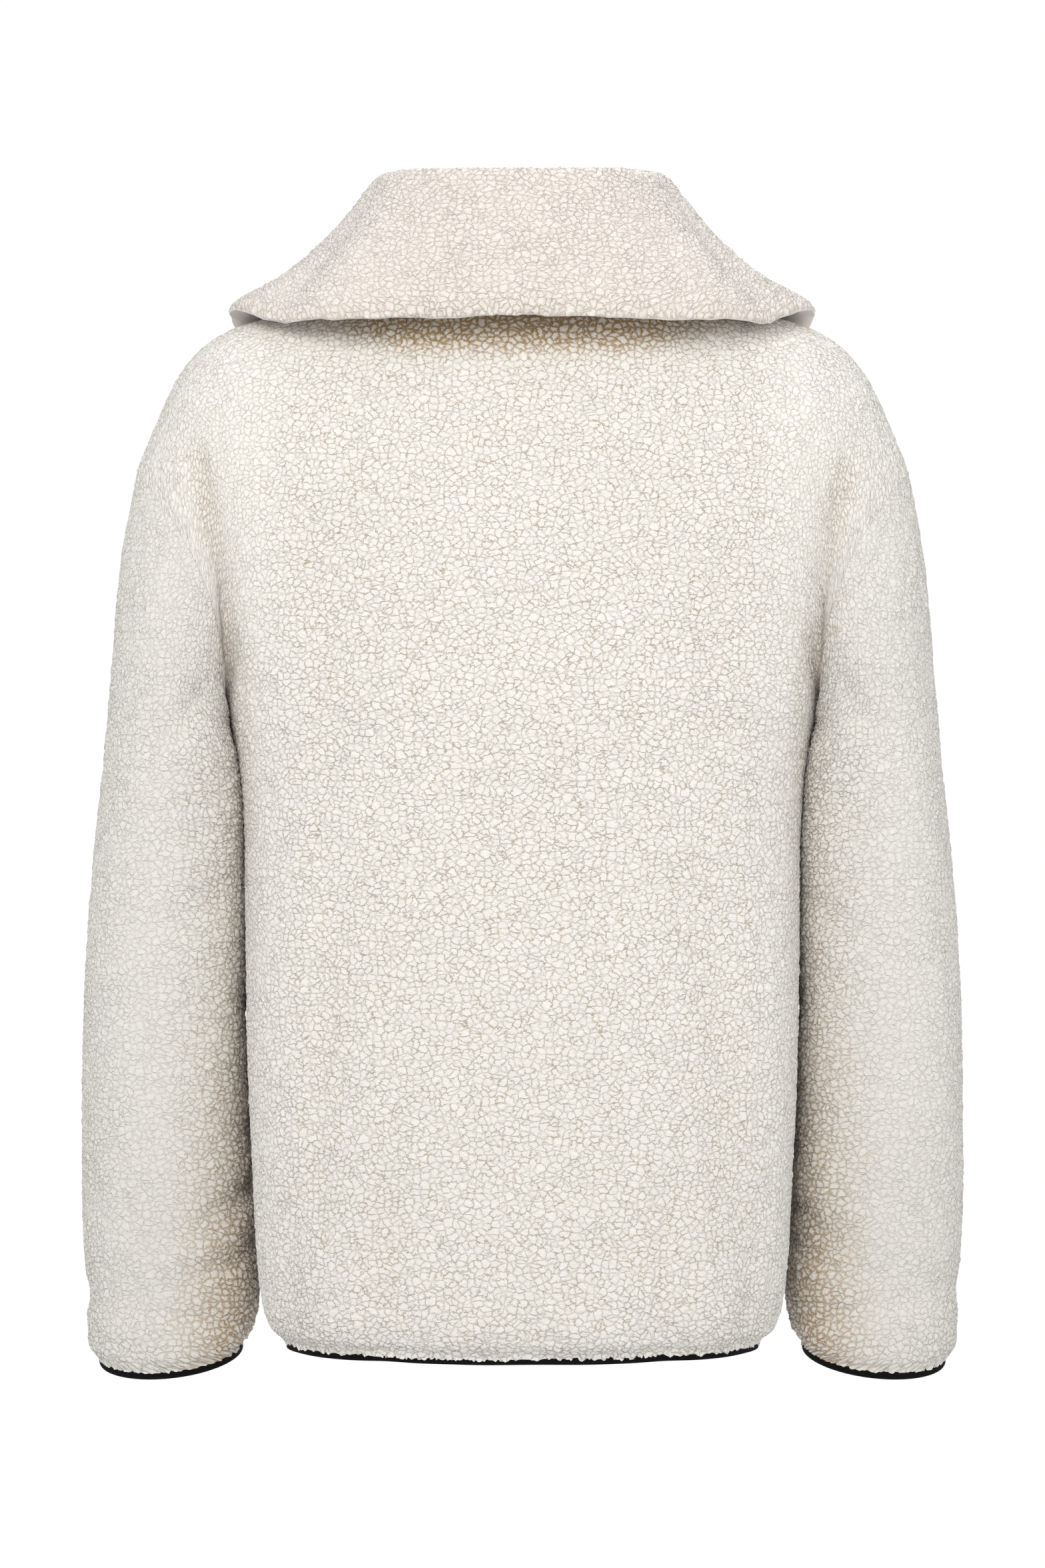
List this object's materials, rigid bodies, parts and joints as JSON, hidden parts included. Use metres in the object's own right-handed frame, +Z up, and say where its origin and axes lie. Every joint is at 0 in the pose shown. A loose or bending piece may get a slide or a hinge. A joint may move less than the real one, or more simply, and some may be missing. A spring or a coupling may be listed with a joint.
{
  "type": "teddy jacket",
  "caption": "Hip-length fleece jacket in its worn, hollow form, with a wide turned-down collar, long straight sleeves, dark bound cuffs and hem and a closed front zip.",
  "frame": {"origin": "the middle of the neck's base, between the shoulders that carry the jacket", "axes": "+Z up, the wearer faces -Y, +X towards the wearer's left"},
  "size_m": [0.5726, 0.271, 0.7758],
  "materials": {
    "fleece": "cream high-pile fleece in small clumps",
    "binding": "black elastic binding, matte",
    "zip_tape": "black woven tape, matte",
    "zip_metal": "dark metal, satin"
  },
  "bodies": {
    "garment": {"back": "fleece", "front_left": "fleece", "front_right": "fleece", "sleeve_left": "fleece", "sleeve_right": "fleece", "collar": "fleece", "hem_binding": "binding", "cuff_binding_left": "binding", "cuff_binding_right": "binding", "zip_tape_left": "zip_tape", "zip_tape_right": "zip_tape", "zip_chain": "zip_metal", "zip_box": "zip_metal", "zip_slider": "zip_metal"},
    "pull_tab": {"zip_pull": "zip_metal"}
  },
  "joints": [
    {"name": "pull_hinge", "type": "hinge", "parent": "garment", "child": "pull_tab", "pos_m": [0, -0.1048, -0.11003], "axis": [-1, 0, 0], "range_deg": [0, 120]}
  ]
}
